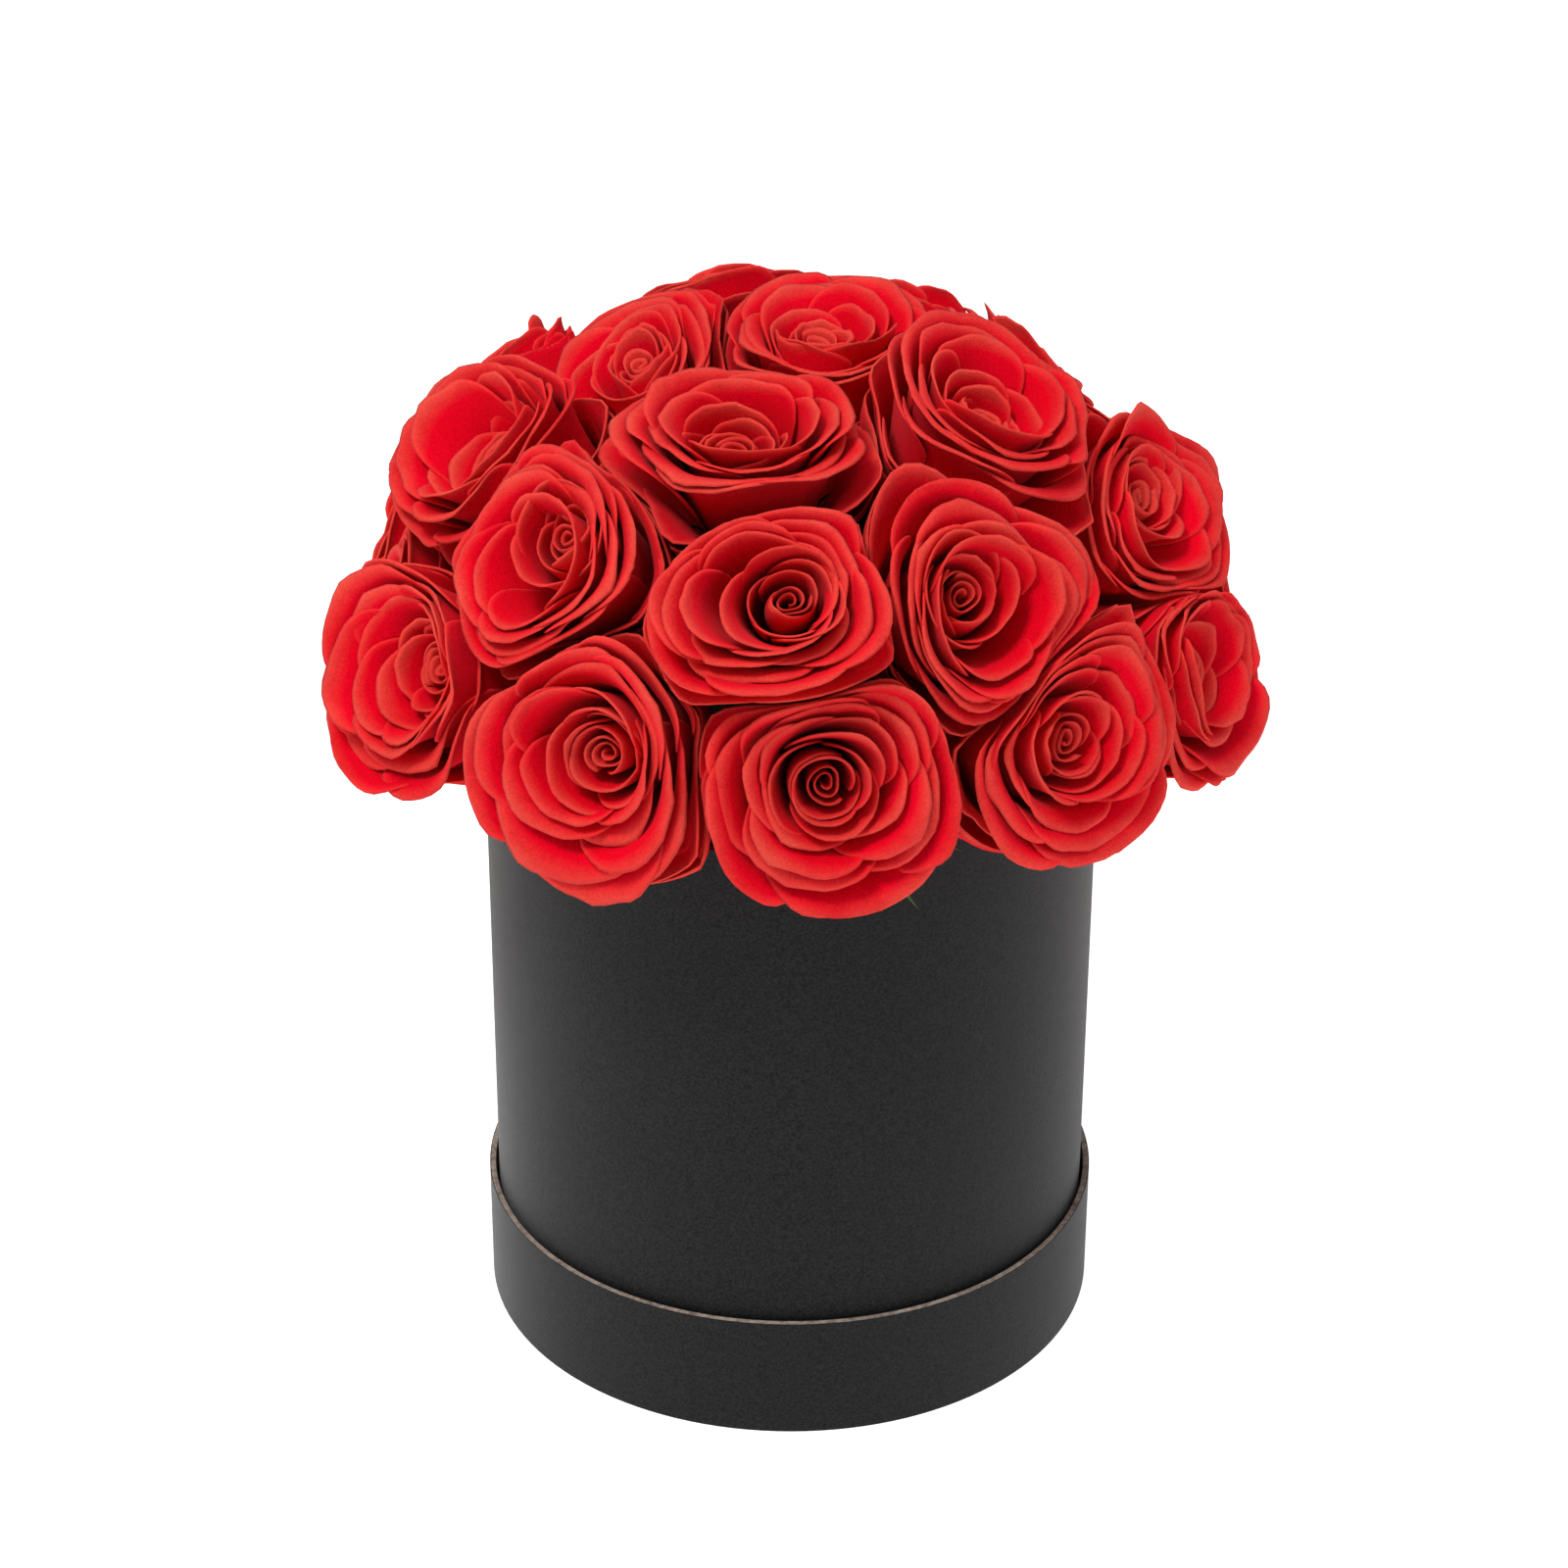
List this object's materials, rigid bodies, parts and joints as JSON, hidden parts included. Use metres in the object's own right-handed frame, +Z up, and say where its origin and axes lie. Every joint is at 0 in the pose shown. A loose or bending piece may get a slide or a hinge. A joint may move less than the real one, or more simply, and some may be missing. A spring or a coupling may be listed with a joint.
{
  "type": "flower box",
  "caption": "Round paper-covered hat box standing in its own upturned lid, holding a dome of red artificial roses whose stems are pushed into a foam block.",
  "frame": {"origin": "centre of the upturned lid's outer face, on the surface that the object stands on", "axes": "+Z up along the box's axis, -Y towards the front"},
  "size_m": [0.2158, 0.2139, 0.2624],
  "materials": {
    "black_paper": "matte",
    "lining_paper": "matte",
    "greyboard": "matte",
    "floral_foam": "matte",
    "rose_petals": "matte",
    "rose_stems": "matte"
  },
  "bodies": {
    "lid": {"lid_hoop": "greyboard", "lid_panel": "greyboard", "lid_side_paper": "black_paper", "lid_face_paper": "black_paper", "lid_lining": "lining_paper"},
    "box": {"box_tube": "greyboard", "box_base": "greyboard", "box_side_paper": "black_paper", "box_lining": "lining_paper", "foam_block": "floral_foam"},
    "rose_01": {"rose_01_head": "rose_petals", "rose_01_stem": "rose_stems"},
    "rose_02": {"rose_02_head": "rose_petals", "rose_02_stem": "rose_stems"},
    "rose_03": {"rose_03_head": "rose_petals", "rose_03_stem": "rose_stems"},
    "rose_04": {"rose_04_head": "rose_petals", "rose_04_stem": "rose_stems"},
    "rose_05": {"rose_05_head": "rose_petals", "rose_05_stem": "rose_stems"},
    "rose_06": {"rose_06_head": "rose_petals", "rose_06_stem": "rose_stems"},
    "rose_07": {"rose_07_head": "rose_petals", "rose_07_stem": "rose_stems"},
    "rose_08": {"rose_08_head": "rose_petals", "rose_08_stem": "rose_stems"},
    "rose_09": {"rose_09_head": "rose_petals", "rose_09_stem": "rose_stems"},
    "rose_10": {"rose_10_head": "rose_petals", "rose_10_stem": "rose_stems"},
    "rose_11": {"rose_11_head": "rose_petals", "rose_11_stem": "rose_stems"},
    "rose_12": {"rose_12_head": "rose_petals", "rose_12_stem": "rose_stems"},
    "rose_13": {"rose_13_head": "rose_petals", "rose_13_stem": "rose_stems"},
    "rose_14": {"rose_14_head": "rose_petals", "rose_14_stem": "rose_stems"},
    "rose_15": {"rose_15_head": "rose_petals", "rose_15_stem": "rose_stems"},
    "rose_16": {"rose_16_head": "rose_petals", "rose_16_stem": "rose_stems"},
    "rose_17": {"rose_17_head": "rose_petals", "rose_17_stem": "rose_stems"},
    "rose_18": {"rose_18_head": "rose_petals", "rose_18_stem": "rose_stems"},
    "rose_19": {"rose_19_head": "rose_petals", "rose_19_stem": "rose_stems"},
    "rose_20": {"rose_20_head": "rose_petals", "rose_20_stem": "rose_stems"},
    "rose_21": {"rose_21_head": "rose_petals", "rose_21_stem": "rose_stems"},
    "rose_22": {"rose_22_head": "rose_petals", "rose_22_stem": "rose_stems"},
    "rose_23": {"rose_23_head": "rose_petals", "rose_23_stem": "rose_stems"},
    "rose_24": {"rose_24_head": "rose_petals", "rose_24_stem": "rose_stems"},
    "rose_25": {"rose_25_head": "rose_petals", "rose_25_stem": "rose_stems"}
  },
  "joints": [
    {"name": "box_lift", "type": "slide", "parent": "lid", "child": "box", "axis": [0, 0, 1], "range_m": [0, 0.04]},
    {"name": "rose_01_pull", "type": "slide", "parent": "box", "child": "rose_01", "axis": [0.0671, -0.9589, 0.2756], "range_m": [0, 0.045]},
    {"name": "rose_02_pull", "type": "slide", "parent": "box", "child": "rose_02", "axis": [0.6079, -0.7507, 0.2588], "range_m": [0, 0.045]},
    {"name": "rose_03_pull", "type": "slide", "parent": "box", "child": "rose_03", "axis": [0.8996, -0.3635, 0.2419], "range_m": [0, 0.045]},
    {"name": "rose_04_pull", "type": "slide", "parent": "box", "child": "rose_04", "axis": [0.9513, 0.1677, 0.2588], "range_m": [0, 0.045]},
    {"name": "rose_05_pull", "type": "slide", "parent": "box", "child": "rose_05", "axis": [0.747, 0.6049, 0.2756], "range_m": [0, 0.045]},
    {"name": "rose_06_pull", "type": "slide", "parent": "box", "child": "rose_06", "axis": [0.3462, 0.9018, 0.2588], "range_m": [0, 0.045]},
    {"name": "rose_07_pull", "type": "slide", "parent": "box", "child": "rose_07", "axis": [-0.1338, 0.9519, 0.2756], "range_m": [0, 0.045]},
    {"name": "rose_08_pull", "type": "slide", "parent": "box", "child": "rose_08", "axis": [-0.5813, 0.7714, 0.2588], "range_m": [0, 0.045]},
    {"name": "rose_09_pull", "type": "slide", "parent": "box", "child": "rose_09", "axis": [-0.8956, 0.3618, 0.2588], "range_m": [0, 0.045]},
    {"name": "rose_10_pull", "type": "slide", "parent": "box", "child": "rose_10", "axis": [-0.9541, -0.1171, 0.2756], "range_m": [0, 0.045]},
    {"name": "rose_11_pull", "type": "slide", "parent": "box", "child": "rose_11", "axis": [-0.7698, -0.539, 0.342], "range_m": [0, 0.045]},
    {"name": "rose_12_pull", "type": "slide", "parent": "box", "child": "rose_12", "axis": [-0.4019, -0.8619, 0.309], "range_m": [0, 0.045]},
    {"name": "rose_13_pull", "type": "slide", "parent": "box", "child": "rose_13", "axis": [-0.0138, -0.7879, 0.6157], "range_m": [0, 0.045]},
    {"name": "rose_14_pull", "type": "slide", "parent": "box", "child": "rose_14", "axis": [0.3749, -0.7052, 0.6018], "range_m": [0, 0.045]},
    {"name": "rose_15_pull", "type": "slide", "parent": "box", "child": "rose_15", "axis": [0.784, -0.1524, 0.6018], "range_m": [0, 0.045]},
    {"name": "rose_16_pull", "type": "slide", "parent": "box", "child": "rose_16", "axis": [0.6181, 0.2882, 0.7314], "range_m": [0, 0.045]},
    {"name": "rose_17_pull", "type": "slide", "parent": "box", "child": "rose_17", "axis": [0.2858, 0.6732, 0.682], "range_m": [0, 0.045]},
    {"name": "rose_18_pull", "type": "slide", "parent": "box", "child": "rose_18", "axis": [-0.2147, 0.6607, 0.7193], "range_m": [0, 0.045]},
    {"name": "rose_19_pull", "type": "slide", "parent": "box", "child": "rose_19", "axis": [-0.6496, 0.4059, 0.6428], "range_m": [0, 0.045]},
    {"name": "rose_20_pull", "type": "slide", "parent": "box", "child": "rose_20", "axis": [-0.6677, -0.1915, 0.7193], "range_m": [0, 0.045]},
    {"name": "rose_21_pull", "type": "slide", "parent": "box", "child": "rose_21", "axis": [-0.4951, -0.5696, 0.6561], "range_m": [0, 0.045]},
    {"name": "rose_22_pull", "type": "slide", "parent": "box", "child": "rose_22", "axis": [-0.1327, -0.4342, 0.891], "range_m": [0, 0.045]},
    {"name": "rose_23_pull", "type": "slide", "parent": "box", "child": "rose_23", "axis": [0.4368, -0.2729, 0.8572], "range_m": [0, 0.045]},
    {"name": "rose_24_pull", "type": "slide", "parent": "box", "child": "rose_24", "axis": [-0.3996, 0.1376, 0.9063], "range_m": [0, 0.045]},
    {"name": "rose_25_pull", "type": "slide", "parent": "box", "child": "rose_25", "axis": [0.0862, 0.0862, 0.9925], "range_m": [0, 0.045]}
  ]
}
